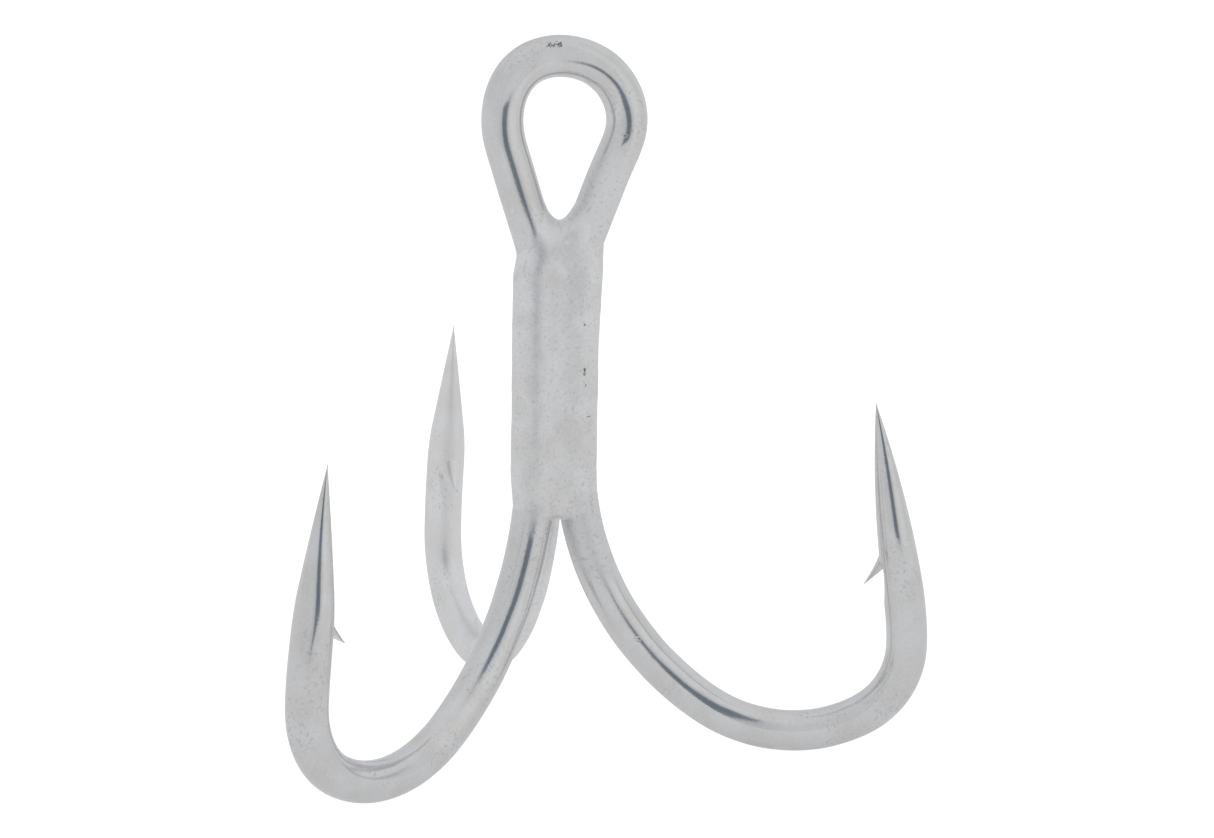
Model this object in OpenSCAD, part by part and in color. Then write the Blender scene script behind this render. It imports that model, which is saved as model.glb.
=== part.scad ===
// Treble hook. A double hook, bent from one wire whose middle is the line eye, holds a third
// single hook in the groove behind its two shanks, and brazing metal joins the three shanks.
// Millimetres. Origin: centre of the eye's ring. +Z runs up the shank, and the plane y = 0
// holds the eye and the two front shanks, so the single hook is on the +Y side.

/* [Wire] */
// Diameter of the hook wire, plating included
wire_d = 3; // [2.6:0.1:3.4]
// Gap between neighbouring shanks, which brazing metal fills
wire_gap = 0.06; // [0.04:0.02:0.12]

/* [Eye] */
// Radius of the eye's ring, measured to the middle of the wire
eye_r = 4.75; // [4.4:0.05:5.2]
// Depth of the neck corners below the centre of the ring
neck_z = 9.4; // [9:0.1:10.5]
// How far the ring stands to the +X side of the shanks
eye_set = 0.25; // [0:0.05:0.4]
// Bend radius where a shank leans out into the eye
neck_r = 4; // [2:0.5:5]

/* [Bends] */
// Depth of the start of the bends below the centre of the ring
bend_z = 24.9; // [23:0.1:27]
// Radius of the opening sweep, below the shank
sweep_r = 21.6; // [18:0.1:25]
// Angle of the opening sweep
sweep_angle = 57.2; // [52:0.1:60]
// Radius of the bottom of the bend
bottom_r = 11.1; // [9.5:0.1:12.5]
// Angle of the bottom of the bend
bottom_angle = 63.7; // [60:0.1:67]
// Radius of the tight heel below the point
heel_r = 6.5; // [5.5:0.1:7.5]
// Angle of the heel
heel_angle = 61.8; // [58:0.1:64]
// Radius of the slight curve that leads into the point
lead_r = 32.5; // [28:0.5:45]
// Angle of that slight curve
lead_angle = 6.3; // [5:0.1:8]
// Extra inward lean of the right hook's point
right_lean = 1.2; // [-1.5:0.1:1.5]
// Extra inward lean of the left hook's point
left_lean = -1.1; // [-1.5:0.1:1.5]
// Extra inward lean of the rear hook's point
rear_lean = 0.3; // [-1.5:0.1:1.5]
// Turn of the right hook about its own shank, from its true third of the circle
right_turn = 0.4; // [-2:0.1:2]
// Turn of the left hook about its own shank
left_turn = 1.6; // [-2:0.1:2]
// Turn of the rear hook about its own shank
rear_turn = -0.9; // [-2:0.1:2]

/* [Point] */
// Length of the tapered point
point_len = 13.8; // [12.5:0.1:15]
// Height of the barb's root above the base of the taper
barb_z = 3.4; // [2.6:0.1:4]
// Length of the barb
barb_len = 2.5; // [1.8:0.1:2.8]
// Angle between the barb and the point
barb_angle = 30; // [22:1:34]
// Width of the barb at its root
barb_w = 1.6; // [1.2:0.1:1.8]
// Depth of the cut that the barb was raised from
cut_depth = 0.4; // [0.2:0.05:0.5]

/* [Braze] */
// Thickness of the brazing metal on the outside of the wires
braze_t = 0.2; // [0.1:0.02:0.24]
// Radius of the hollow between two wires on the outside of the joint
fillet_r = 7; // [5:0.5:12]
// Depth of the joint's upper edge below the centre of the ring
braze_top = 10.4; // [10:0.1:11.5]
// Depth of the joint's lower edge below the centre of the ring
braze_bottom = 28.2; // [26:0.1:29]
// Radius of the rounded crotch at the foot of the eye
crotch_r = 1.5; // [0.6:0.05:1.6]
// Depth of the single hook's upper end below the centre of the ring
rear_top = 11; // [10.8:0.1:12]

/* [Hidden] */
plating = "#C3C4C7";
solder = "#BDBEC1";
wire_fn = 40;
point_steps = 12;
// Drop from the barb's root to the notch behind it, and the length of the cut from there
notch_drop = 0.8;
cut_len = 4;
barb_tip_w = 0.2;
// Place of the barb's root, as a part of the wire's radius
barb_root = 0.9;
// How far a cutting shape runs past what it cuts
spare = 1;
// Thickness of the web in the crotch, and how deep its foot stands in the core
web_t = 2.2;
web_foot = 1;
// The core starts core_rise above the joint's lower edge and ends core_lift above its upper edge
core_rise = 0.5;
core_lift = 0.35;
wire_r = wire_d / 2;
pitch = wire_d + wire_gap;
// Neighbouring stretches of a wire differ by wire_step in radius and lap over each other, so
// their surfaces never coincide
wire_step = 0.01;
thin_r = wire_r - wire_step;
sleeve_r = wire_r + braze_t;
lap = 0.1;
// Distance from the middle of the shank bundle to the middle of each wire
spread = pitch / sqrt(3);
bundle = [-eye_set, spread / 2];
// The three hooks: place round the bundle, turn about the shank, and angle of the last curve
RIGHT = 0;
LEFT = 1;
REAR = 2;
dirs = [-30, -150, 90];
turns = [right_turn, left_turn, rear_turn];
leads = [lead_angle + right_lean, lead_angle + left_lean, lead_angle + rear_lean];

// The four arcs of a bend, from the shank to the point: radius and angle
function arcs(lead) = [
    [sweep_r, sweep_angle],
    [bottom_r, bottom_angle],
    [heel_r, heel_angle],
    [lead_r, lead]
];
// Angle that the wire has turned through before arc i
function turned(a, i) = i == 0 ? 0 : turned(a, i - 1) + a[i - 1][1];
// Place of the start of arc i, in the plane of the hook: out from the shank, and up
function arc_start(a, i) = i == 0
    ? [0, -bend_z]
    : arc_start(a, i - 1) + a[i - 1][0] * (heading(turned(a, i - 1)) - heading(turned(a, i)));
function heading(t) = [cos(t), sin(t)];

// Tangent line from a neck corner to the eye's ring, for side 1 (right) or -1 (left)
function neck_x(side) = pitch / 2 - side * eye_set;
function neck_reach(side) = norm([neck_x(side), neck_z]);
// Angle of the tangent point on the ring, from straight down
function tangent_angle(side) =
    asin(neck_x(side) / neck_reach(side)) + acos(eye_r / neck_reach(side));
function leg_lean(side) = 90 - tangent_angle(side);
function leg_len(side) = sqrt(pow(neck_reach(side), 2) - pow(eye_r, 2));
// Length of wire that the bend of radius neck_r takes from each side of its corner
function corner_len(side) = neck_r * tan(leg_lean(side) / 2);

// An arc of wire in the XZ plane round the origin, from one angle to another
module arc(radius, from, angle, r) {
    rotate([90, 0, 0])
        rotate([0, 0, from])
            rotate_extrude(angle = angle, $fn = 96)
                translate([radius, 0])
                    circle(r, $fn = wire_fn);
}

// The same arc, with both ends run on over the thinner stretches next to it
module lapping_arc(radius, from, angle, r) {
    over = lap / radius * 180 / PI;
    arc(radius, from - over, angle + 2 * over, r);
}

// Everything inside moves to the plane of one hook, with the wire's own axis at x = 0
module in_hook_plane(side) {
    translate([bundle.x, bundle.y, 0])
        rotate([0, 0, dirs[side]])
            translate([spread, 0, 0])
                rotate([0, 0, turns[side]])
                    children();
}

// A straight shank, from the start of its bend up to a depth of top
module shank(top, r) {
    translate([0, 0, -bend_z])
        cylinder(r = r, h = bend_z - top, $fn = wire_fn);
}

// Everything inside moves to the centre of arc i of a bend
module at_arc(a, i) {
    start = arc_start(a, i);
    middle = start + a[i][0] * heading(turned(a, i));
    translate([middle.x, 0, middle.y])
        children();
}

// All arcs of a bend, every second one lapping over its thinner neighbours
module bend(lead) {
    a = arcs(lead);
    for (i = [0, 2])
        at_arc(a, i)
            lapping_arc(a[i][0], 180 + turned(a, i), a[i][1], wire_r);
    for (i = [1, 3])
        at_arc(a, i)
            arc(a[i][0], 180 + turned(a, i), a[i][1], thin_r);
}

// Everything inside moves to the base of the point, with +Z towards its tip and -X inwards
module at_point(lead) {
    a = arcs(lead);
    base = arc_start(a, len(a));
    translate([base.x, 0, base.y])
        rotate([0, 180 - turned(a, len(a)), 0])
            children();
}

// The point: its radius falls off slowly at first, then evenly to the tip
module taper() {
    outline = [
        for (i = [0 : point_steps])
            let (t = i / point_steps)
            [wire_r * (1 - t * t), point_len * t]
    ];
    rotate_extrude($fn = wire_fn)
        polygon(concat([[0, -lap], [wire_r, -lap]], outline));
}

// The sliver raised from the inner side of the point
module barb() {
    root = [-wire_r * barb_root, barb_z];
    tip = root + barb_len * [-sin(barb_angle), -cos(barb_angle)];
    notch = [cut_depth - wire_r, barb_z - notch_drop];
    intersection() {
        rotate([90, 0, 0])
            linear_extrude(barb_w + spare, center = true)
                polygon([root, tip, notch, [0, notch.y], [0, barb_z]]);
        translate([0, 0, tip.y - spare])
            linear_extrude(barb_len + 2 * spare)
                polygon([[spare, -barb_w / 2], [spare, barb_w / 2], [root.x, barb_w / 2],
                    [tip.x, barb_tip_w / 2], [tip.x, -barb_tip_w / 2], [root.x, -barb_w / 2]]);
    }
}

// The shallow wedge of metal that the barb was raised from
module barb_cut() {
    notch = [cut_depth - wire_r, barb_z - notch_drop];
    outside = -wire_r - spare;
    rotate([90, 0, 0])
        linear_extrude(wire_d, center = true)
            polygon([notch, [-wire_r, notch.y - cut_len], [outside, notch.y - cut_len],
                [outside, notch.y]]);
}

// One hook from the start of its bend to its tip
module hook(side) {
    lead = leads[side];
    in_hook_plane(side) {
        difference() {
            union() {
                bend(lead);
                at_point(lead)
                    taper();
            }
            at_point(lead)
                barb_cut();
        }
        at_point(lead)
            barb();
    }
}

// One side of the eye, from the top of a shank to the ring
module eye_leg(side) {
    lean = leg_lean(side);
    cut = corner_len(side);
    mirror([side < 0 ? 1 : 0, 0, 0])
        translate([neck_x(side), 0, -neck_z]) {
            translate([neck_r, 0, -cut])
                lapping_arc(neck_r, 180 - lean, lean, wire_r);
            rotate([0, lean, 0])
                translate([0, 0, cut])
                    cylinder(r = thin_r, h = leg_len(side) - cut, $fn = wire_fn);
        }
}

module eye_ring() {
    from = tangent_angle(1) - 90;
    lapping_arc(eye_r, from, 360 - tangent_angle(1) - tangent_angle(-1), wire_r);
}

// The two shanks of the double hook and the legs of its eye
module double_shank() {
    in_hook_plane(RIGHT)
        shank(neck_z + corner_len(1), thin_r);
    in_hook_plane(LEFT)
        shank(neck_z + corner_len(-1), thin_r);
    for (side = [1, -1])
        eye_leg(side);
}

module double_hook() {
    color(plating) {
        double_shank();
        eye_ring();
        hook(RIGHT);
        hook(LEFT);
    }
}

module single_hook() {
    color(plating) {
        in_hook_plane(REAR)
            shank(rear_top, thin_r);
        hook(REAR);
    }
}

// Every stretch of wire that the joint touches
module held_wires() {
    double_shank();
    in_hook_plane(REAR)
        shank(rear_top, thin_r);
    a = arcs(lead_angle);
    for (side = [RIGHT, LEFT, REAR])
        in_hook_plane(side)
            at_arc(a, 0)
                lapping_arc(sweep_r, 180, sweep_angle, wire_r);
}

// The metal outside the wires, along the shanks and down onto the start of the bends
module sleeves() {
    grip_angle = asin((braze_bottom - bend_z) / sweep_r);
    a = arcs(lead_angle);
    for (side = [RIGHT, LEFT, REAR])
        in_hook_plane(side) {
            shank(braze_top, sleeve_r);
            at_arc(a, 0)
                lapping_arc(sweep_r, 180, grip_angle, sleeve_r + wire_step);
        }
}

// The metal between the three wires, hollowed by fillet_r on each side
module core() {
    hollow_x = sqrt(pow(wire_r + braze_t / 2 + fillet_r, 2) - pow(pitch / 2, 2)) + spread / 2;
    outline = [
        for (i = [0 : 2])
            let (wire_dir = 90 + 120 * i, hollow_dir = 150 + 120 * i)
            each [spread * heading(wire_dir), hollow_x * heading(hollow_dir)]
    ];
    translate([bundle.x, bundle.y, -braze_bottom + core_rise])
        linear_extrude(braze_bottom - core_rise - braze_top + core_lift)
            difference() {
                polygon(outline);
                for (i = [0 : 2])
                    translate(hollow_x * heading(150 + 120 * i))
                        circle(fillet_r, $fn = 96);
            }
}

// The web between the legs of the eye, up to its rounded crotch
module crotch_web() {
    right_corner = [pitch / 2 - eye_set, -neck_z];
    left_corner = [-pitch / 2 - eye_set, -neck_z];
    right_up = [sin(leg_lean(1)), cos(leg_lean(1))];
    left_up = [-sin(leg_lean(-1)), cos(leg_lean(-1))];
    foot_z = -braze_top - web_foot;
    reach = wire_r + crotch_r;
    // The crotch circle touches both legs, so its centre is reach away from both middle lines
    right_start = right_corner + reach * [-right_up.y, right_up.x];
    left_start = left_corner + reach * [left_up.y, -left_up.x];
    gap = left_start - right_start;
    along = (gap.x * left_up.y - gap.y * left_up.x)
        / (right_up.x * left_up.y - right_up.y * left_up.x);
    crotch = right_start + along * right_up;
    rotate([90, 0, 0])
        linear_extrude(web_t, center = true)
            difference() {
                polygon([[left_corner.x, foot_z], [right_corner.x, foot_z], right_corner,
                    right_corner + along * right_up, crotch,
                    left_corner + along * left_up, left_corner]);
                translate(crotch)
                    circle(crotch_r, $fn = 48);
            }
}

module braze_joint() {
    color(solder)
        difference() {
            union() {
                sleeves();
                core();
                crotch_web();
            }
            held_wires();
        }
}

double_hook();
single_hook();
braze_joint();
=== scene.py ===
"""Treble hook: two plated wires, brazed along their shanks, on a pale table in soft light.

Lengths are in metres. The frame is the CAD model's: the origin is the centre of the eye's ring, +Z runs up
the shanks, and the plane y = 0 holds the eye and the two front shanks.
"""

import math

import bmesh
import bpy
import numpy as np
from mathutils import Matrix, Vector


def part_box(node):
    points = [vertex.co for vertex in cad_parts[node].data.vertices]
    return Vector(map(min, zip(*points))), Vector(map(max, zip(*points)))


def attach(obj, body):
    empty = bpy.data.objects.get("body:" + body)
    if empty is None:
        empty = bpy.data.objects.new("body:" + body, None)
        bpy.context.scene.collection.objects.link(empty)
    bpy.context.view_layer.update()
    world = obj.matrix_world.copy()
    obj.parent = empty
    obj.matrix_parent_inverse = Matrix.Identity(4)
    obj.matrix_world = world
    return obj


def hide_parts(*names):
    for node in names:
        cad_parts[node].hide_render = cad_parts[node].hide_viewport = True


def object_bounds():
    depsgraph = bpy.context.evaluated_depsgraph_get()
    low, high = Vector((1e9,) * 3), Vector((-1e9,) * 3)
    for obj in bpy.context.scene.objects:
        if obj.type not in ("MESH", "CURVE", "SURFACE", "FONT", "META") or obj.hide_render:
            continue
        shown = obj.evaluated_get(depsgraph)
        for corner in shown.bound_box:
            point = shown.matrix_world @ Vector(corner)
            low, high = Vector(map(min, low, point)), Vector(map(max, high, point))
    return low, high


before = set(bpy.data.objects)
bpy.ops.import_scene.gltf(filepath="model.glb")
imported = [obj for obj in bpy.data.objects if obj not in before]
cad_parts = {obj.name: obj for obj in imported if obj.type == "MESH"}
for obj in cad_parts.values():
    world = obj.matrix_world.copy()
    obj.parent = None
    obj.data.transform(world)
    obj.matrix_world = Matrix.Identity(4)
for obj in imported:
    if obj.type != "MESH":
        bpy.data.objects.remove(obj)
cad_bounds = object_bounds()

MM = 0.001
UP = np.array([0.0, 0.0, 1.0])

# ---------------------------------------------------------------- sizes that the frame gives
double_low, double_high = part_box("double_hook")
WIRE_R = double_high.y
EYE_R = double_high.z - WIRE_R
LOWEST = double_low.z
REAR_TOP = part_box("single_hook")[1].z   # upper end of the single hook

# ---------------------------------------------------------------- sizes of the wires' route
PITCH = 2 * WIRE_R + 0.06 * MM          # from one shank's middle line to the next
SPREAD = PITCH / math.sqrt(3)           # from the bundle's middle to each shank's middle line
BUNDLE_X = -0.25 * MM                   # the shanks stand a little to one side of the ring's centre
BUNDLE_Y = SPREAD / 2
NECK_Z = -9.4 * MM                      # where the shanks lean out into the eye
NECK_R = 4 * MM
BEND = (                                # the four arcs of a bend: radius and angle
    (21.6 * MM, 57.2),
    (11.1 * MM, 63.7),
    (6.5 * MM, 61.8),
    (32.5 * MM, 6.3),
)
POINT_LEN = 13.8 * MM
RIGHT, LEFT, REAR = -30.0, -150.0, 90.0  # places of the three hooks round the bundle
# Degrees by which each hook is bent further than the others, and turned about its own shank
LEAN = {RIGHT: 1.2, LEFT: -1.1, REAR: 0.3}
TURN = {RIGHT: 0.4, LEFT: 1.6, REAR: -0.9}

# Slight unevenness of the eye's ring: angle from straight down, width in degrees, and height of each swell
EYE_SWELLS = ((-140.0, 33.0, 0.46 * MM), (85.0, 40.0, 0.24 * MM))
EYE_SINK = -0.11 * MM                   # and of the whole ring
EYE_FOOT, EYE_EVEN = -7.5 * MM, -1.5 * MM   # it grows from nothing between these heights

# ---------------------------------------------------------------- sizes of the wires' section
DEEP_LEN = 15.6 * MM                    # length of a point's taper seen from the side of its hook
WIDE_LEN = 10.1 * MM                    # and seen from the front
WIDE_BLEND = 0.16                       # share of it where the taper eases into the full width
TIP_R = 0.035 * MM
RIDGE = 0.25                            # sharpness of the ridge down the inner side of a point
RIDGE_END = 10 * MM
RIPPLE, RIPPLE_LEN = 0.006 * MM, 3.5 * MM

# ---------------------------------------------------------------- mesh fineness
SIDES = 48
STEP = 0.32 * MM                        # between rings of a wire
POINT_STEP = 0.16 * MM
EASE_PASSES = 8
WIRE_SHARP, BRAZE_SHARP = 32, 50        # edges with a larger angle than this stay sharp
BRAZE_CELL = 0.15 * MM


# ---------------------------------------------------------------- small helpers
def unit(v):
    return v / np.linalg.norm(v)


def horizontal(degrees):
    a = math.radians(degrees)
    return np.array([math.cos(a), math.sin(a), 0.0])


def rise(x, low, high):
    """Grows smoothly from 0 at low to 1 at high."""
    t = np.clip((x - low) / (high - low), 0, 1)
    return t * t * (3 - 2 * t)


def waves(p, height, length, seed, count=14):
    """Smooth noise over places p, of about that height up and down, with features of about that length."""
    rng = np.random.default_rng(seed)
    k = rng.normal(size=(count, 3))
    k *= (2 * math.pi / length) * rng.uniform(0.6, 1.6, count)[:, None] / np.linalg.norm(k, axis=1)[:, None]
    phase = rng.uniform(0, 2 * math.pi, count)
    return height * (np.sin(p @ k.T + phase).sum(axis=-1) / math.sqrt(count))


def new_object(name, verts, faces, uvs=None):
    mesh = bpy.data.meshes.new(name)
    mesh.from_pydata([tuple(v) for v in np.asarray(verts)], [], [tuple(int(i) for i in f) for f in faces])
    if uvs is not None:
        layer = mesh.uv_layers.new(name="wire")
        layer.data.foreach_set("uv", np.array(uvs, dtype=np.float32).ravel())
    mesh.update()
    mesh.validate()
    obj = bpy.data.objects.new(name, mesh)
    bpy.context.scene.collection.objects.link(obj)
    return obj


def side_quads(rings, sides):
    """Faces between neighbouring rings of vertices."""
    quads = []
    for i in range(rings - 1):
        here, after = i * sides, (i + 1) * sides
        for j in range(sides):
            k = (j + 1) % sides
            quads.append((here + j, here + k, after + k, after + j))
    return quads


def outward(obj):
    """Turns the faces of a closed mesh outwards."""
    bm = bmesh.new()
    bm.from_mesh(obj.data)
    bmesh.ops.recalc_face_normals(bm, faces=bm.faces)
    bm.to_mesh(obj.data)
    bm.free()


def finish_shading(obj, degrees):
    obj.data.polygons.foreach_set("use_smooth", [True] * len(obj.data.polygons))
    obj.data.set_sharp_from_angle(angle=math.radians(degrees))


# ---------------------------------------------------------------- the wires' route
class Route:
    """A wire's middle line, drawn from straight stretches and arcs. It keeps a list of stations, which are
    places and headings."""

    def __init__(self, start, heading):
        self.place = [np.array(start, float)]
        self.heading = [unit(np.array(heading, float))]

    def straight(self, length, step=STEP):
        p, t = self.place[-1], self.heading[-1]
        n = max(1, round(length / step))
        for i in range(1, n + 1):
            self.place.append(p + t * length * i / n)
            self.heading.append(t)

    def turn(self, radius, degrees, towards):
        p, t = self.place[-1], self.heading[-1]
        side = unit(towards - np.dot(towards, t) * t)
        angle = math.radians(degrees)
        n = max(2, round(radius * angle / STEP))
        for i in range(1, n + 1):
            a = angle * i / n
            self.place.append(p + radius * (math.sin(a) * t + (1 - math.cos(a)) * side))
            self.heading.append(math.cos(a) * t + math.sin(a) * side)

    def backwards(self):
        """The same line, followed from its end to its start."""
        other = Route(self.place[-1], -self.heading[-1])
        other.place = self.place[::-1]
        other.heading = [-t for t in self.heading[::-1]]
        return other

    def join(self, other):
        """Goes on along a route that starts where this one ends."""
        self.place += other.place[1:]
        self.heading += other.heading[1:]


def bend_drop():
    """How far the middle line of a bend reaches below its start."""
    z, turned, lowest = 0.0, 0.0, 0.0
    for radius, degrees in BEND:
        end = turned + math.radians(degrees)
        if turned < math.pi / 2 <= end:
            lowest = z - radius * (1 - math.sin(turned))
        z -= radius * (math.sin(end) - math.sin(turned))
        turned = end
    return -lowest


BEND_Z = LOWEST + WIRE_R + bend_drop()


def shank_line(direction):
    """The middle line of a shank, as its x and y."""
    p = np.array([BUNDLE_X, BUNDLE_Y, 0.0]) + SPREAD * horizontal(direction)
    return p[:2]


def outwards(direction):
    """The way a hook points, turned a little about its own shank."""
    return horizontal(direction + TURN[direction])


def hook_route(direction):
    """From the start of a bend, down and round, to the tip of the point."""
    x, y = shank_line(direction)
    out = outwards(direction)
    route = Route((x, y, BEND_Z), -UP)
    side = out
    turned = 0.0
    for i, (radius, degrees) in enumerate(BEND):
        if i == len(BEND) - 1:
            degrees += LEAN[direction]
        route.turn(radius, degrees, side)
        turned += degrees
        a = math.radians(turned)
        side = math.cos(a) * out + math.sin(a) * UP
    route.straight(POINT_LEN, POINT_STEP)
    return route


def eye_leg(side):
    """Where a leg of the eye meets the ring, as an angle from straight down, and how long the leg is. Side 1
    is the right leg and side -1 the left one."""
    x = PITCH / 2 + side * BUNDLE_X
    reach = math.hypot(x, NECK_Z)
    angle = math.asin(x / reach) + math.acos(EYE_R / reach)
    return angle, math.sqrt(x * x + NECK_Z * NECK_Z - EYE_R * EYE_R)


def add_eye(route):
    """Takes a route on from the foot of the right shank, up round the eye, to the foot of the left shank."""
    right, back = np.array([1.0, 0.0, 0.0]), np.array([0.0, 1.0, 0.0])
    angle_r, len_r = eye_leg(1)
    angle_l, len_l = eye_leg(-1)
    lean_r, lean_l = (math.degrees(math.pi / 2 - angle) for angle in (angle_r, angle_l))
    cut_r, cut_l = (NECK_R * math.tan(math.radians(lean) / 2) for lean in (lean_r, lean_l))
    route.straight(NECK_Z - cut_r - BEND_Z)
    route.turn(NECK_R, lean_r, right)
    route.straight(len_r - cut_r)
    route.turn(EYE_R, 360 - math.degrees(angle_r + angle_l), np.cross(route.heading[-1], back))
    route.straight(len_l - cut_l)
    route.turn(NECK_R, lean_l, np.cross(back, route.heading[-1]))
    route.straight(NECK_Z - cut_l - BEND_Z)
    route.place = [uneven_eye(p) for p in route.place]


def uneven_eye(p):
    """Moves a place on the eye's middle line out or in, because a bent ring is never quite round."""
    angle = math.degrees(math.atan2(p[0], -p[2]))
    shift = EYE_SINK
    for at, width, height in EYE_SWELLS:
        away = (angle - at + 180) % 360 - 180
        shift += height * math.exp(-(away / width) ** 2)
    return p + unit([p[0], 0.0, p[2]]) * shift * rise(p[2], EYE_FOOT, EYE_EVEN)


# ---------------------------------------------------------------- sweeping a wire
def smoothed(points, passes):
    """Eases the curvature steps between neighbouring stretches, and leaves both ends alone."""
    p = points.copy()
    for _ in range(passes):
        p[1:-1] = (p[:-2] + 2 * p[1:-1] + p[2:]) / 4
    return p


def stations(route, first_side):
    """Places of a route, headings, two side vectors that don't twist about it, and distances along it."""
    place = smoothed(np.array(route.place), EASE_PASSES)
    gaps = np.diff(place, axis=0)
    heading = np.vstack([gaps[:1], gaps[1:] + gaps[:-1], gaps[-1:]])
    heading /= np.linalg.norm(heading, axis=1)[:, None]
    sides = [unit(first_side - np.dot(first_side, heading[0]) * heading[0])]
    for before, after in zip(heading[:-1], heading[1:]):
        turn = Vector(before).rotation_difference(Vector(after))
        sides.append(np.array(turn @ Vector(sides[-1])))
    u = np.array(sides)
    along = np.concatenate([[0], np.cumsum(np.linalg.norm(gaps, axis=1))])
    return place, heading, u, np.cross(heading, u), along


def deep_half(s):
    """Half depth of the wire at distance s from its tip, in the plane of the hook."""
    return WIRE_R * (1 - np.clip(1 - s / DEEP_LEN, 0, 1) ** 2)


def wide_half(s):
    """Half width of the wire at distance s from its tip, across the plane of the hook."""
    t = s / WIDE_LEN
    eased = 1 - (np.clip(1 + WIDE_BLEND - t, 0, 2 * WIDE_BLEND)) ** 2 / (4 * WIDE_BLEND)
    return WIRE_R * np.minimum(np.where(t < 1 - WIDE_BLEND, t, eased), 1)


def tube_faces(along):
    """Faces and UV places of a tube with rings at those distances. Two more vertices close its ends."""
    n = len(along)
    around = [2 * math.pi * WIRE_R * j / SIDES for j in range(SIDES + 1)]
    faces, uvs = side_quads(n, SIDES), []
    for before, after in zip(along[:-1], along[1:]):
        for a, b in zip(around[:-1], around[1:]):
            uvs += [(a, before), (b, before), (b, after), (a, after)]
    last = (n - 1) * SIDES
    for j in range(SIDES):
        k = (j + 1) % SIDES
        a, b = around[j], around[j + 1]
        faces += [(n * SIDES, k, j), (n * SIDES + 1, last + j, last + k)]
        uvs += [(a, 0), (b, 0), (a, 0), (a, along[-1]), (a, along[-1]), (b, along[-1])]
    return faces, uvs


def wire_mesh(name, route, first_side, point_ends, seed):
    """A closed tube along a route. It narrows to a point at each end that point_ends names."""
    p, t, u, v, along = stations(route, first_side)
    to_tip = np.full(len(p), 1.0)
    if "start" in point_ends:
        to_tip = np.minimum(to_tip, along)
    if "end" in point_ends:
        to_tip = np.minimum(to_tip, along[-1] - along)
    deep = np.maximum(deep_half(to_tip), TIP_R)
    wide = np.maximum(wide_half(to_tip), TIP_R)
    angle = 2 * math.pi * np.arange(SIDES) / SIDES
    c, s = np.cos(angle), np.sin(angle)
    crest = np.clip(1 - to_tip / RIDGE_END, 0, 1) * RIDGE
    # Towards the shank the section is a little keeled, which is the ridge down the point
    power = 1 + crest[:, None] * np.clip(c, 0, 1)[None, :]
    x = deep[:, None] * np.sign(c) * np.abs(c) ** power
    y = wide[:, None] * np.sign(s) * np.abs(s) ** power
    ring = p[:, None] + x[..., None] * u[:, None] + y[..., None] * v[:, None]
    out = ring - p[:, None]
    thin = np.minimum(deep, wide)[:, None, None] / WIRE_R
    ring += out / WIRE_R * waves(ring, RIPPLE, RIPPLE_LEN, seed)[..., None] * thin
    caps = [p[0] - t[0] * (TIP_R if "start" in point_ends else 0),
            p[-1] + t[-1] * (TIP_R if "end" in point_ends else 0)]
    return new_object(name, np.vstack([ring.reshape(-1, 3), caps]), *tube_faces(along))


# ---------------------------------------------------------------- barbs
NOTCH_FROM_TIP = {RIGHT: 12.15 * MM, LEFT: 11.6 * MM, REAR: 12.0 * MM}
CUT_DEEP = 0.28 * MM
CUT_LEN = 3.4 * MM
CUT_CLEAR = 2 * MM                      # how far the cutter stands out of the wire, to its front and sides
CUT_LEAN = 1.6 * MM                     # how far its end leans back, clear of the barb
CUT_CURVE = ((0, 0), (-0.45, 0.02), (-1, 1.9))  # of its floor, as shares of its length and depth
# Places on a barb from its notch: along the point, out of it, and across it
BARB_TIP = {
    RIGHT: np.array([-1.25, 1.72, 0.0]) * MM,
    LEFT: np.array([-0.9, 1.75, -0.6]) * MM,
    REAR: np.array([-1.1, 1.6, 0.0]) * MM,
}
BARB_ROOT = np.array([1.9, -0.12, 0.0]) * MM
BARB_BACK = np.array([0.85, 0.0, 0.0]) * MM
UNDER_ROOT, UNDER_BACK = -0.58, 0.2     # the same two for its under side, as shares of the tip's place
BARB_W = 1.75 * MM
BARB_END = 0.985                        # the last ring, just short of the tip
BARB_END_HALF = 0.03 * MM
BARB_TAPER = 2.2
CUT_STEPS, BARB_RINGS, OVER_STEPS, UNDER_STEPS = 9, 17, 13, 7


def bezier(points, t):
    a, b, c = [np.asarray(q, float) for q in points]
    return (1 - t) ** 2 * a + 2 * t * (1 - t) * b + t * t * c


def loft(name, rings):
    """A closed solid through rings of the same number of places."""
    rings = np.array(rings)
    n, m = rings.shape[:2]
    ends = [tuple(range(m))[::-1], tuple((n - 1) * m + j for j in range(m))]
    return new_object(name, rings.reshape(-1, 3), side_quads(n, m) + ends)


def barb_places(tip, axis, inward, from_tip):
    """A function from places beside the notch (along the point, out of it, across it) to the frame."""
    across = np.cross(axis, inward)
    notch = tip - axis * from_tip + inward * (deep_half(from_tip) - CUT_DEEP)

    def place(z, x, y):
        return notch + axis * z + inward * x + across * y

    return place


def barb_cutter(place):
    """The wedge of metal that was sliced away: a shallow floor that runs out towards the bend."""
    curve = [(z * CUT_LEN, x * CUT_DEEP) for z, x in CUT_CURVE]
    outline = [bezier(curve, t) for t in np.linspace(0, 1, CUT_STEPS)]
    outline += [np.array([-CUT_LEN, CUT_CLEAR]), np.array([-CUT_LEAN, CUT_CLEAR])]
    return loft("cutter", [[place(z, x, y) for z, x in outline] for y in (-CUT_CLEAR, CUT_CLEAR)])


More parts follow.
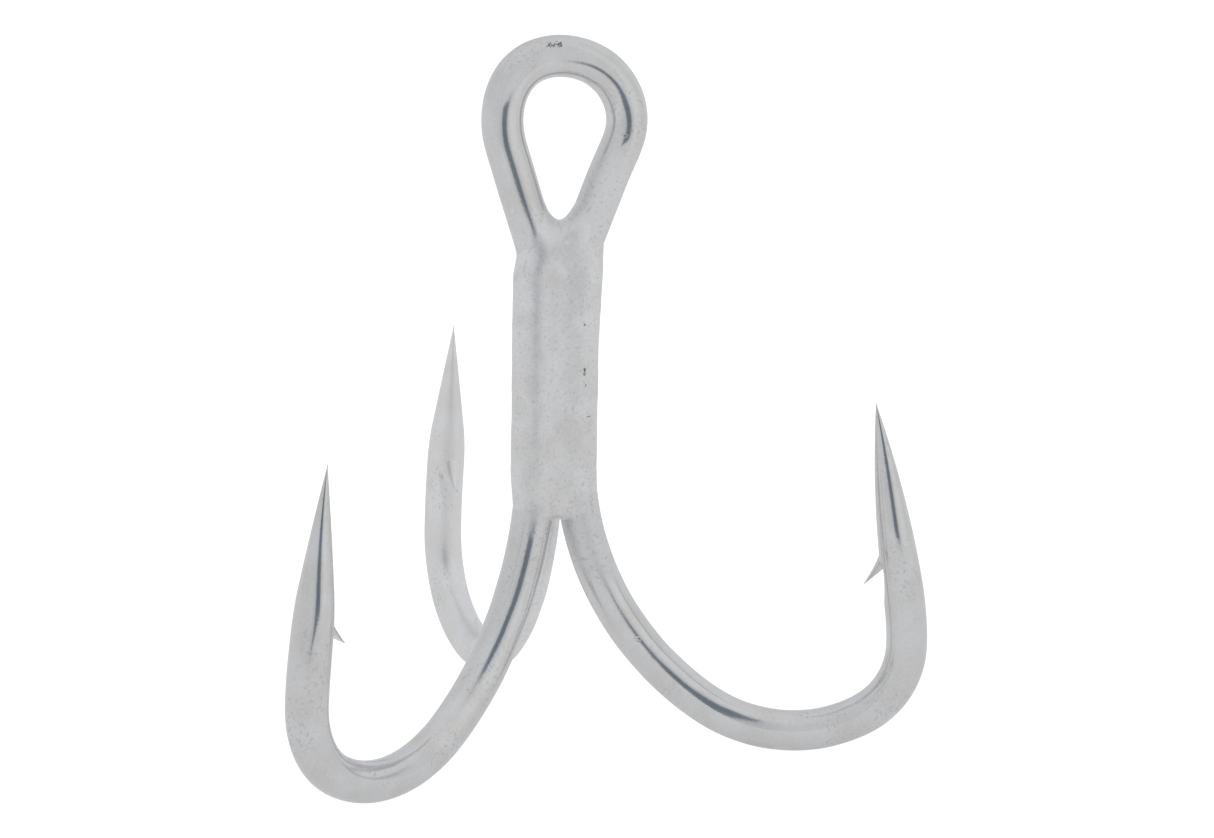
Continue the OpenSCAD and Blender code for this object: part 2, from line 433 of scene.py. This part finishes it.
def barb_sliver(place, tip):
    """The sliver, lifted: round outside like the wire that it came from, and flat below."""
    outer = (BARB_ROOT, BARB_BACK, tip)
    under = (UNDER_ROOT * tip * [1, 1, 0], UNDER_BACK * tip * [1, 1, 0], tip)
    rings = []
    for t in np.linspace(0, BARB_END, BARB_RINGS):
        top, low = bezier(outer, t), bezier(under, t)
        half = BARB_W / 2 * (1 - t ** BARB_TAPER) + BARB_END_HALF
        ring = []
        for a in np.linspace(0, math.pi, OVER_STEPS):
            z, x, y = low + (top - low) * math.sin(a)
            ring.append(place(z, x, y + half * math.cos(a)))
        for w in np.linspace(-1, 1, UNDER_STEPS)[1:-1]:
            ring.append(place(low[0], low[1], low[2] + half * w))
        rings.append(ring)
    return loft("sliver", rings)


def combine(obj, other, operation):
    """Cuts the other solid out of obj, or joins it to obj, and removes the other."""
    mod = obj.modifiers.new("cut", "BOOLEAN")
    mod.operation = operation
    mod.solver = "EXACT"
    mod.object = other
    bpy.context.view_layer.update()
    graph = bpy.context.evaluated_depsgraph_get()
    mesh = bpy.data.meshes.new_from_object(obj.evaluated_get(graph))
    obj.modifiers.clear()
    obj.data = mesh
    bpy.data.objects.remove(other)


def add_barb(wire, route, direction):
    tip, axis = route.place[-1], route.heading[-1]
    out = outwards(direction)
    inward = -unit(out - np.dot(out, axis) * axis)
    place = barb_places(tip, axis, inward, NOTCH_FROM_TIP[direction])
    cutter, sliver = barb_cutter(place), barb_sliver(place, BARB_TIP[direction])
    outward(cutter)
    outward(sliver)
    combine(wire, cutter, "DIFFERENCE")
    combine(wire, sliver, "UNION")


# ---------------------------------------------------------------- the two wires
def make_double_hook():
    right, left = hook_route(RIGHT), hook_route(LEFT)
    whole = right.backwards()
    add_eye(whole)
    whole.join(left)
    wire = wire_mesh("double_hook_wire", whole, -outwards(RIGHT), ("start", "end"), seed=11)
    outward(wire)
    add_barb(wire, right, RIGHT)
    add_barb(wire, left, LEFT)
    finish_shading(wire, WIRE_SHARP)
    return wire


def make_single_hook():
    rear = hook_route(REAR)
    x, y = shank_line(REAR)
    whole = Route((x, y, REAR_TOP), -UP)
    whole.straight(REAR_TOP - BEND_Z)
    whole.join(rear)
    wire = wire_mesh("single_hook_wire", whole, -outwards(REAR), ("end",), seed=23)
    outward(wire)
    add_barb(wire, rear, REAR)
    finish_shading(wire, WIRE_SHARP)
    return wire


# ---------------------------------------------------------------- brazing metal
BRAZE_LOW = -28.7 * MM
BRAZE_HIGH = -8.7 * MM                  # of the film on the left side
FRONT_HIGHER = 0.9 * MM                 # how much higher it reaches in front
RIGHT_LOWER = 0.3 * MM                  # and how much less high on the right
WEB_TOP = -5.4 * MM                     # nothing fills the crotch of the eye above this
FILM = 0.06 * MM                        # thickness of the film
FILM_LEFT = 0.28 * MM                   # added to it on the left
FILM_GATHERED = 0.24 * MM               # added to it on the right, towards the upper end
FADE_LOW = 3.4 * MM                     # the film thins out over this height at its lower end
FADE_HIGH = 2.6 * MM                    # and over this at its upper end, or half of this on the right
SUNK = 0.02 * MM                        # where there is no film, the metal lies this far inside the wires
END_SLOPE, WEB_SLOPE = 0.45, 0.4
# Where parts of the film set in, with x counted from the bundle's middle
LEFT_SIDE = (1.0 * MM, 2.8 * MM)        # in -x
RIGHT_SIDE = (0.8 * MM, 2.9 * MM)       # in x
FRONT_SIDE = (0, 1.4 * MM)              # in -y
FRONT_FROM = (-2.9 * MM, -0.6 * MM)     # in x, from the left
FRONT_TO = (-2 * MM, 0.5 * MM)          # in -x, from the right
GATHERED = (-17 * MM, -10 * MM)         # in z
# Unevenness of the film, of its lower end and of its upper end, and grain: height, length and seed
FILM_WAVES = (0.015 * MM, 5 * MM, 31)
LOW_WAVES = (0.14 * MM, 3.5 * MM, 32)
HIGH_WAVES = (0.2 * MM, 3 * MM, 33)
GRAIN_WAVES = ((0.006 * MM, 1.3 * MM, 34), (0.002 * MM, 0.5 * MM, 35))
# Widths of the fillets between the wires
FRONT_FILL = 2.7 * MM
CROTCH_FILL = 0.4 * MM                  # added to it between the legs of the eye
REAR_FILL = 1.7 * MM
NECK_FILL = 0.1 * MM
CROTCH_RISE = 2.5 * MM
# The space that the joint is searched for in, as x from the bundle's middle, y and z
BRAZE_SPACE = ((-4 * MM, -2.6 * MM, BRAZE_LOW - 1.6 * MM), (4 * MM, 5 * MM, -5.5 * MM))


def smooth_min(a, b, k):
    """The smaller of two distances, with a fillet about k wide where they meet."""
    h = np.clip(1 - np.abs(a - b) / k, 0, 1)
    return np.minimum(a, b) - h * h * k / 4


def shank_distance(p, direction, top):
    """Distance from places p to a shank's middle line, from its upper end down round the opening sweep."""
    foot = np.array([*shank_line(direction), 0.0])
    out = outwards(direction)
    rel = p - foot
    across = rel @ np.cross(UP, out)
    reach = rel @ out
    sweep = BEND[0][0]
    above = np.maximum(p[:, 2] - top, 0)
    bent = np.hypot(reach - sweep, p[:, 2] - BEND_Z) - sweep
    side = np.where(p[:, 2] > BEND_Z, reach, bent)
    return np.sqrt(side ** 2 + across ** 2 + above ** 2)


def leg_distance(p, side):
    """Distance from places p to the middle line of one leg of the eye."""
    angle, length = eye_leg(side)
    lean = math.pi / 2 - angle
    along = np.array([side * math.sin(lean), 0.0, math.cos(lean)])
    rel = p - np.array([side * PITCH / 2 + BUNDLE_X, 0.0, NECK_Z])
    t = np.clip(rel @ along, 0, length)
    return np.linalg.norm(rel - t[:, None] * along, axis=1)


def braze_depth(p):
    """How far the brazing metal stands out of the wires. It is negative past the joint's ends."""
    x, z, level = p[:, 0] - BUNDLE_X, p[:, 2], p * [1, 1, 0]
    right = rise(x, *RIGHT_SIDE)
    front = rise(-p[:, 1], *FRONT_SIDE) * rise(x, *FRONT_FROM) * rise(-x, *FRONT_TO)
    film = FILM + FILM_LEFT * rise(-x, *LEFT_SIDE) + waves(p, *FILM_WAVES)
    film += FILM_GATHERED * right * rise(z, *GATHERED)
    low = BRAZE_LOW + waves(level, *LOW_WAVES)
    high = BRAZE_HIGH + FRONT_HIGHER * front - RIGHT_LOWER * right + waves(level, *HIGH_WAVES)
    fade = rise(z - low, 0, FADE_LOW) * rise(high - z, 0, FADE_HIGH * (1 - 0.5 * right))
    past_end = END_SLOPE * np.maximum(low - z, 0) + WEB_SLOPE * np.maximum(z - WEB_TOP, 0)
    return film * fade - SUNK * (1 - fade) - past_end


def braze_field(p):
    """Negative inside the brazing metal."""
    left = smooth_min(shank_distance(p, LEFT, NECK_Z), leg_distance(p, -1), NECK_FILL)
    right = smooth_min(shank_distance(p, RIGHT, NECK_Z), leg_distance(p, 1), NECK_FILL)
    rear = shank_distance(p, REAR, REAR_TOP)
    crotch = rise(p[:, 2], NECK_Z, NECK_Z + CROTCH_RISE)
    front = smooth_min(left, right, FRONT_FILL + CROTCH_FILL * crotch)
    body = smooth_min(front, rear, REAR_FILL) - WIRE_R
    return body - braze_depth(p) + sum(waves(p, *grain) for grain in GRAIN_WAVES)


def slopes(field, p, h):
    """Gradient of a field at places p."""
    steps = np.eye(3) * h
    return np.stack([(field(p + e) - field(p - e)) / (2 * h) for e in steps], axis=1)


def at_corner(values, corner):
    """The field's values at the same corner of every cell of a grid."""
    return values[tuple(slice(c, c + n - 1) for c, n in zip(corner, values.shape))]


def crossed_cells(values):
    """The places of the vertices, counted in cells, with one for each cell that the surface crosses, and a
    grid that holds each cell's vertex number."""
    cells = tuple(n - 1 for n in values.shape)
    total = np.zeros(cells + (3,))
    count = np.zeros(cells)
    for a in [(i, j, k) for i in (0, 1) for j in (0, 1) for k in (0, 1)]:
        for axis in range(3):
            if a[axis]:
                continue
            b = tuple(v + (n == axis) for n, v in enumerate(a))
            fa, fb = at_corner(values, a), at_corner(values, b)
            crossed = (fa < 0) != (fb < 0)
            spot = np.zeros(cells + (3,))
            spot[:] = a
            spot[..., axis] = np.where(crossed, fa / np.where(crossed, fa - fb, 1), 0)
            total += spot * crossed[..., None]
            count += crossed
    active = count > 0
    index = -np.ones(cells, int)
    index[active] = np.arange(active.sum())
    return np.argwhere(active) + total[active] / count[active][:, None], index


def quads_across(values, index, axis):
    """A quad for each edge of the grid along an axis that the surface crosses, between its four cells."""
    first = [slice(1, n - 1) for n in values.shape]
    second = list(first)
    first[axis] = slice(0, values.shape[axis] - 1)
    second[axis] = slice(1, values.shape[axis])
    fa, fb = values[tuple(first)], values[tuple(second)]
    crossed = (fa < 0) != (fb < 0)
    base = np.argwhere(crossed) + np.array([0 if n == axis else 1 for n in range(3)])
    others = [n for n in range(3) if n != axis]
    loop = []
    for back in ((0, 0), (1, 0), (1, 1), (0, 1)):
        place = base.copy()
        place[:, others] -= back
        loop.append(index[tuple(place.T)])
    faces = np.stack(loop, axis=1)
    flip = (fa[crossed] < 0) != (axis == 1)
    faces[flip] = faces[flip][:, ::-1]
    return faces


def field_mesh(name, field, low, high, cell):
    """The closed surface where a field is zero, as a net of quads with a vertex in each crossed cell."""
    axes = [np.arange(a, b + cell, cell) for a, b in zip(low, high)]
    grid = np.stack(np.meshgrid(*axes, indexing="ij"), axis=-1)
    parts = np.array_split(grid.reshape(-1, 3), 8)  # a part at a time takes less memory
    values = np.concatenate([field(part) for part in parts]).reshape(grid.shape[:3])
    spots, index = crossed_cells(values)
    verts = spots * cell + np.array(low)
    faces = np.vstack([quads_across(values, index, axis) for axis in range(3)])
    # Three steps down the slope bring each vertex onto the surface itself
    for _ in range(3):
        g = slopes(field, verts, cell / 4)
        verts = verts - g * (field(verts) / np.maximum((g * g).sum(axis=1), 0.2))[:, None]
    return new_object(name, verts, faces)


def make_braze():
    low, high = (np.array([BUNDLE_X + x, y, z]) for x, y, z in BRAZE_SPACE)
    braze = field_mesh("braze_film", braze_field, low, high, BRAZE_CELL)
    outward(braze)
    finish_shading(braze, BRAZE_SHARP)
    return braze


# ---------------------------------------------------------------- materials
# Heights between which heat left the plating rougher: above and below the joint, left side and right side
SCALE_TOP = (-7.4 * MM, -1.8 * MM)
SCALE_LOW = (-30.2 * MM, -34.4 * MM)
SCALE_EDGE = 1.6 * MM                   # it fades out over this height
SCALE_WAVE = 3 * MM                     # unevenness of those heights
SCALE_SIDE = 0.5 * MM                   # half width over which the left side passes into the right one
HEATED_REACH = 9 * MM                   # none of it reaches the hooks' points
HEATED_FADE = 2 * MM
HEATED_ROUGH = 0.48
HEATED_TONE = (0.80, 0.805, 0.815, 1)
HEATED_SHARE = 0.7                      # how far the tone and the specks follow the heat

# Features per metre of the plating's textures
CLOUDS, GRIT, PATCHES, SPECKS = 420, 5200, 260, 3600
ROUGH_PATCHES, GRAIN, PITS, RAGS, SCALE_RAGS = 900, 3800, 1500, 6500, 1500
DRAWN = (9000, 160, 1)                  # drawing marks: round the wire and along it
# Levels of noise between which patches, specks and pits set in
PATCH_LEVELS, SPECK_LEVELS, PIT_LEVELS = (0.5, 0.6), (0.56, 0.66), (0.74, 0.78)
ROUGH_SPREAD = 0.15
BUMP = 0.004 * MM
PIT_DEPTH = 2.5
# Tints of the tone's dark, middle and light parts, of its specks, and the colour of its nicks
WARM, PLAIN, COOL = (1.01, 1.0, 0.985), (1.0, 1.0, 1.008), (0.985, 1.0, 1.025)
SPECK = (0.83, 0.84, 0.85)
NICK_COLOUR = (0.2, 0.22, 0.25, 1)

# Dark nicks where the plating is thin: place, and half size along each axis
WIRE_NICKS = (
    ((-1.45 * MM, -1.05 * MM, 5.66 * MM), (0.36 * MM, 0.5 * MM, 0.2 * MM)),
    ((-0.85 * MM, -1.1 * MM, 5.68 * MM), (0.26 * MM, 0.5 * MM, 0.22 * MM)),
)
BRAZE_NICKS = (
    ((1.2 * MM, -1.65 * MM, -14.5 * MM), (0.09 * MM, 0.4 * MM, 0.12 * MM)),
    ((1.3 * MM, -1.55 * MM, -18.0 * MM), (0.11 * MM, 0.4 * MM, 0.3 * MM)),
    ((1.35 * MM, -1.6 * MM, -18.9 * MM), (0.1 * MM, 0.4 * MM, 0.22 * MM)),
    ((1.65 * MM, -1.5 * MM, -21.4 * MM), (0.11 * MM, 0.4 * MM, 0.1 * MM)),
)

FLOOR_TONES = ((0.3, (0.34, 0.34, 0.34)), (0.7, (0.36, 0.36, 0.36)))
FLOOR_GLOW = 0.47                       # as the hook is lit by it
FLOOR_SEEN = 0.92                       # and as the camera sees it


class Nodes:
    """A short way to add and join shader nodes."""

    def __init__(self, tree):
        self.tree = tree
        tree.nodes.clear()

    def put(self, socket, value):
        """Joins a socket to another one, or sets it to a plain value."""
        if isinstance(value, bpy.types.NodeSocket):
            self.tree.links.new(value, socket)
        else:
            socket.default_value = value

    def add(self, kind, values=None, **settings):
        node = self.tree.nodes.new(kind)
        for name, value in settings.items():
            setattr(node, name, value)
        for name, value in (values or {}).items():
            self.put(node.inputs[name], value)
        return node

    def math(self, operation, a, b=0.0, c=0.0, clamp=False):
        node = self.add("ShaderNodeMath", operation=operation, use_clamp=clamp)
        for socket, value in zip(node.inputs, (a, b, c)):
            self.put(socket, value)
        return node.outputs[0]

    def vector(self, operation, a, b=(0, 0, 0)):
        node = self.add("ShaderNodeVectorMath", {0: a, 1: b}, operation=operation)
        return node.outputs["Value" if operation == "LENGTH" else "Vector"]

    def noise(self, vector, scale, detail=3.0, roughness=0.5):
        node = self.add("ShaderNodeTexNoise", {"Vector": vector, "Scale": scale, "Detail": detail,
                                               "Roughness": roughness})
        return node.outputs["Fac"]

    def ramp(self, fac, stops):
        node = self.add("ShaderNodeValToRGB", {"Fac": fac})
        while len(node.color_ramp.elements) < len(stops):
            node.color_ramp.elements.new(0.5)
        for element, (position, colour) in zip(node.color_ramp.elements, stops):
            element.position = position
            element.color = (*colour, 1)
        return node.outputs["Color"]

    def mix(self, share, a, b):
        node = self.add("ShaderNodeMix", data_type="RGBA")
        for name, value in (("Factor_Float", share), ("A_Color", a), ("B_Color", b)):
            self.put(next(i for i in node.inputs if i.identifier == name), value)
        return next(o for o in node.outputs if o.identifier == "Result_Color")

    def remap(self, value, low, high, new_low, new_high):
        node = self.add("ShaderNodeMapRange", {"Value": value, "From Min": low, "From Max": high,
                                               "To Min": new_low, "To Max": new_high})
        return node.outputs["Result"]


def new_material(name):
    mat = bpy.data.materials.new(name)
    mat.use_nodes = True
    return mat, Nodes(mat.node_tree)


def tinted(tone, tint):
    return tuple(tone * share for share in tint)


def heated(n, place):
    """1 on the wires close to the joint, and 0 elsewhere."""
    part = n.add("ShaderNodeSeparateXYZ", {"Vector": place}).outputs
    right = n.remap(part["X"], BUNDLE_X - SCALE_SIDE, BUNDLE_X + SCALE_SIDE, 0.0, 1.0)
    wave = n.math("MULTIPLY", n.math("SUBTRACT", n.noise(place, SCALE_RAGS, 2.0), 0.5), SCALE_WAVE)
    z = n.math("ADD", part["Z"], wave)
    top = n.math("MULTIPLY_ADD", right, SCALE_TOP[1] - SCALE_TOP[0], SCALE_TOP[0])
    low = n.math("MULTIPLY_ADD", right, SCALE_LOW[1] - SCALE_LOW[0], SCALE_LOW[0])
    below_top = n.math("DIVIDE", n.math("SUBTRACT", top, z), SCALE_EDGE, clamp=True)
    above_low = n.math("DIVIDE", n.math("SUBTRACT", z, low), SCALE_EDGE, clamp=True)
    reach = n.vector("LENGTH", n.vector("MULTIPLY", place, (1, 1, 0)))
    near = n.remap(reach, HEATED_REACH, HEATED_REACH + HEATED_FADE, 1.0, 0.0)
    return n.math("MULTIPLY", n.math("MULTIPLY", below_top, above_low), near)


def clouded(n, place, base, mottle):
    """The tone of the tin, slightly warmer where it is darker."""
    cloud, grit = n.noise(place, CLOUDS, 4.0, 0.55), n.noise(place, GRIT, 2.0, 0.6)
    tone = n.math("ADD", n.math("MULTIPLY", cloud, 0.6), n.math("MULTIPLY", grit, 0.4))
    return n.ramp(tone, ((0.36, tinted(base * (1 - mottle), WARM)), (0.5, tinted(base, PLAIN)),
                         (0.64, tinted(base * (1 + mottle), COOL))))


def nicked(n, place, colour, nicks):
    """Puts dark nicks with ragged outlines over a colour."""
    for spot, size in nicks:
        away = n.vector("MULTIPLY", n.vector("SUBTRACT", place, spot), tuple(1 / v for v in size))
        rags = n.remap(n.noise(place, RAGS, 1.0), 0.35, 0.65, -0.5, 0.9)
        ragged = n.math("ADD", n.vector("LENGTH", away), rags)
        colour = n.mix(n.remap(ragged, 0.75, 0.95, 1.0, 0.0), colour, NICK_COLOUR)
    return colour


def plating(name, base, mottle, rough, grain, streaks, nicks):
    """Tin plating: a bright satin metal with fine grain, cloudy tone, dark specks and a few pits. On a wire
    it also has drawing marks, as high as streaks says, and a paler tone where it was heated."""
    mat, n = new_material(name)
    place = n.add("ShaderNodeTexCoord").outputs["Object"]
    heat = heated(n, place)
    heat_share = n.math("MULTIPLY", heat, HEATED_SHARE)
    colour = clouded(n, place, base, mottle)
    if streaks:
        colour = n.mix(heat_share, colour, HEATED_TONE)
    patch = n.math("MAXIMUM", n.remap(n.noise(place, PATCHES, 2.0), *PATCH_LEVELS, 0.0, 1.0), heat_share)
    speck = n.remap(n.noise(place, SPECKS, 2.0, 0.6), *SPECK_LEVELS, 0.0, 1.0)
    colour = n.mix(n.math("MULTIPLY", speck, patch), colour, (*tinted(base, SPECK), 1))
    colour = nicked(n, place, colour, nicks)
    roughness = n.remap(n.noise(place, ROUGH_PATCHES, 3.0), 0.3, 0.7,
                        rough * (1 - ROUGH_SPREAD), rough * (1 + ROUGH_SPREAD))
    roughness = n.math("ADD", roughness, n.math("MULTIPLY", heat, max(HEATED_ROUGH - rough, 0.0)))
    height = n.math("MULTIPLY", n.noise(place, GRAIN, 3.0, 0.6), grain)
    if streaks:
        uv = n.add("ShaderNodeTexCoord").outputs["UV"]
        drawn = n.add("ShaderNodeMapping", {"Vector": uv, "Scale": DRAWN}).outputs["Vector"]
        height = n.math("ADD", height, n.math("MULTIPLY", n.noise(drawn, 1.0, 2.0), streaks))
    pit = n.remap(n.noise(place, PITS, 1.0, 0.4), *PIT_LEVELS, 0.0, 1.0)
    height = n.math("SUBTRACT", height, n.math("MULTIPLY", pit, PIT_DEPTH))
    bump = n.add("ShaderNodeBump", {"Height": height, "Strength": 1.0, "Distance": BUMP})
    shader = n.add("ShaderNodeBsdfPrincipled", {"Base Color": colour, "Metallic": 1.0, "Roughness": roughness,
                                                "Normal": bump.outputs["Normal"]})
    n.add("ShaderNodeOutputMaterial", {"Surface": shader.outputs["BSDF"]})
    return mat


def floor_material():
    """A pale table that glows a little, so that hardly any shadow shows on it."""
    mat, n = new_material("floor")
    place = n.add("ShaderNodeTexCoord").outputs["Object"]
    colour = n.ramp(n.noise(place, 40, 2.0), FLOOR_TONES)
    seen = n.add("ShaderNodeLightPath").outputs["Is Camera Ray"]
    glow = n.math("MULTIPLY_ADD", seen, FLOOR_SEEN - FLOOR_GLOW, FLOOR_GLOW)
    shader = n.add("ShaderNodeBsdfPrincipled", {"Base Color": colour, "Roughness": 0.9,
                                                "Specular IOR Level": 0.0,
                                                "Emission Color": (1, 1, 1, 1), "Emission Strength": glow})
    n.add("ShaderNodeOutputMaterial", {"Surface": shader.outputs["BSDF"]})
    return mat


# ---------------------------------------------------------------- light and table
TENT_LIGHT = 0.77
# Colour of the tent's wall by direction in degrees: 0 is -Y, and the angle grows towards +X
TENT = (
    (-180, (0.86, 0.87, 0.90)),
    (-150, (0.92, 0.93, 0.95)),
    (-130, (0.86, 0.87, 0.88)),
    (-40, (0.86, 0.87, 0.88)),
    (-26, (0.77, 0.78, 0.79)),
    (8, (0.77, 0.78, 0.79)),
    (26, (1.0, 1.0, 0.985)),
    (52, (1.0, 1.0, 0.985)),
    (74, (0.87, 0.88, 0.89)),
    (105, (0.96, 0.97, 0.98)),
    (140, (0.90, 0.91, 0.93)),
    (180, (0.86, 0.87, 0.90)),
)
ROOF_FROM, ROOF_TO = 35, 70
ROOF_COLOUR = (0.96, 0.96, 0.965, 1)
BACKGROUND = (1.4, 1.4, 1.4, 1)         # what the camera itself sees: plain white

# The dark slit in the tent's front, which the wires mirror as thin lines
SLIT_AZ = -8.0
SLIT_HALF = 13.0
SLIT_EDGE = 2.0
SLIT_TOP, SLIT_TOP_EDGE = 53.0, 6.0
SLIT_COLOUR = (0.22, 0.26, 0.31)
# Low down, where only the eye can see it over the table's lip, the slit opens out to the right
GAP_END, GAP_END_EDGE = 20.5, 3
GAP_TOP, GAP_TOP_EDGE = -14.8, 2

# White cards before the hook: name, range of x, y, and range of z. The first hides the slit from the eye's
# ring, and the second hides it from the upper part of the eye's right leg
CARDS = (
    ("screen", (-14 * MM, 14 * MM), -15 * MM, (1.5 * MM, 30 * MM)),
    ("leg_screen", (0.2 * MM, 5 * MM), -3.2 * MM, (-9 * MM, -1.4 * MM)),
)
CARD_COLOUR = (0.90, 0.91, 0.92, 1)

# The table ends in front of the hook, below the picture, where it turns up into a low lip
FLOOR_BACK, FLOOR_EDGE = 1500 * MM, -65 * MM
# Places along the lip's top edge: x, and height above the table
LIP_TOP = ((-1500 * MM, 9 * MM), (-45 * MM, 9 * MM), (-22 * MM, 15 * MM), (1500 * MM, 15 * MM))


def studio():
    """A light tent, nearly white all round but for one upright slit in front."""
    world = bpy.data.worlds.new("studio")
    bpy.context.scene.world = world
    world.use_nodes = True
    n = Nodes(world.node_tree)
    direction = n.add("ShaderNodeTexCoord").outputs["Generated"]
    x, y, z = n.add("ShaderNodeSeparateXYZ", {"Vector": direction}).outputs
    azimuth = n.math("MULTIPLY", n.math("ARCTAN2", x, n.math("MULTIPLY", y, -1.0)), 180 / math.pi)
    elevation = n.math("MULTIPLY", n.math("ARCSINE", z), 180 / math.pi)
    wall = n.ramp(n.remap(azimuth, -180, 180, 0.0, 1.0), [((a + 180) / 360, c) for a, c in TENT])
    wall = n.mix(n.remap(elevation, ROOF_FROM, ROOF_TO, 0.0, 1.0), wall, ROOF_COLOUR)
    offset = n.math("ABSOLUTE", n.math("SUBTRACT", azimuth, SLIT_AZ))
    beside = n.remap(offset, SLIT_HALF - SLIT_EDGE, SLIT_HALF + SLIT_EDGE, 1.0, 0.0)
    below = n.remap(elevation, SLIT_TOP - SLIT_TOP_EDGE, SLIT_TOP + SLIT_TOP_EDGE, 1.0, 0.0)
    slit = n.math("MULTIPLY", beside, below)
    aside = n.math("MULTIPLY", n.remap(azimuth, SLIT_AZ, SLIT_AZ + GAP_END_EDGE, 0.0, 1.0),
                   n.remap(azimuth, GAP_END - GAP_END_EDGE, GAP_END, 1.0, 0.0))
    gap = n.math("MULTIPLY", aside, n.remap(elevation, GAP_TOP - GAP_TOP_EDGE, GAP_TOP, 1.0, 0.0))
    wall = n.mix(n.math("MAXIMUM", slit, gap), wall, (*SLIT_COLOUR, 1))
    wall = n.mix(n.add("ShaderNodeLightPath").outputs["Is Camera Ray"], wall, BACKGROUND)
    shader = n.add("ShaderNodeBackground", {"Color": wall, "Strength": TENT_LIGHT})
    n.add("ShaderNodeOutputWorld", {"Surface": shader.outputs["Background"]})


def make_floor():
    z = cad_bounds[0][2]
    verts = []
    for x, lip in LIP_TOP:
        verts += [(x, FLOOR_BACK, z), (x, FLOOR_EDGE, z), (x, FLOOR_EDGE, z + lip)]
    faces = []
    for i in range(0, len(verts) - 3, 3):
        faces += [(i, i + 1, i + 4, i + 3), (i + 1, i + 2, i + 5, i + 4)]
    floor = new_object("floor", verts, faces)
    floor.data.materials.append(floor_material())


def make_card(name, x, y, z):
    """A small white card in front of the hook, over the ranges x and z. Only the plating mirrors it."""
    corners = [(x[0], y, z[0]), (x[1], y, z[0]), (x[1], y, z[1]), (x[0], y, z[1])]
    card = new_object(name, corners, [(0, 1, 2, 3)])
    mat, n = new_material(name)
    glow = n.add("ShaderNodeEmission", {"Color": CARD_COLOUR, "Strength": TENT_LIGHT})
    n.add("ShaderNodeOutputMaterial", {"Surface": glow.outputs[0]})
    card.data.materials.append(mat)
    card.visible_camera = False
    card.visible_diffuse = False
    card.visible_shadow = False


# ---------------------------------------------------------------- camera
CAM_AZ, CAM_EL, CAM_ROLL = -21.206, 13.767, -1.032  # degrees: from -Y towards +X, upwards, and of roll
CAM_DISTANCE = 241.77 * MM
CAM_AIM = Vector((3.49, -0.568, -21.96)) * MM
CAM_LENS = 97.944


def make_camera():
    az, el, roll = (math.radians(a) for a in (CAM_AZ, CAM_EL, CAM_ROLL))
    back = Vector((math.sin(az) * math.cos(el), -math.cos(az) * math.cos(el), math.sin(el)))
    side = Vector((math.cos(az), math.sin(az), 0))
    up = back.cross(side)
    side, up = (math.cos(roll) * side - math.sin(roll) * up, math.sin(roll) * side + math.cos(roll) * up)
    camera = bpy.data.objects.new("camera", bpy.data.cameras.new("camera"))
    camera.data.lens = CAM_LENS
    camera.data.clip_start = 10 * MM
    camera.data.clip_end = 10
    camera.matrix_world = Matrix((side, up, back)).transposed().to_4x4()
    camera.location = CAM_AIM + back * CAM_DISTANCE
    bpy.context.scene.collection.objects.link(camera)
    bpy.context.scene.camera = camera


# ---------------------------------------------------------------- assembly
make_camera()
studio()
make_floor()
for card in CARDS:
    make_card(*card)
bpy.context.scene.view_settings.view_transform = "Standard"

wire_plating = plating("wire_plating", base=0.73, mottle=0.06, rough=0.15, grain=1.0, streaks=0.5,
                       nicks=WIRE_NICKS)
# The single hook is the same tinned wire as the double hook. Its paler base colour, 0.84 against 0.73, is
# painted light that stands in for the brighter light on the rear hook
rear_plating_painted_lighter = plating("rear_plating_painted_lighter", base=0.84, mottle=0.05, rough=0.38, grain=1.0, streaks=0.5, nicks=())
braze_plating = plating("braze_plating", base=0.82, mottle=0.07, rough=0.46, grain=1.6, streaks=0,
                        nicks=BRAZE_NICKS)

for make, node, slot, mat in (
    (make_double_hook, "double_hook", "plated_wire", wire_plating),
    (make_single_hook, "single_hook", "plated_wire", rear_plating_painted_lighter),
    (make_braze, "braze_joint", "plated_braze", braze_plating),
):
    piece = make()
    piece.data.materials.append(mat)
    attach(piece, "root")
    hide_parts(node)
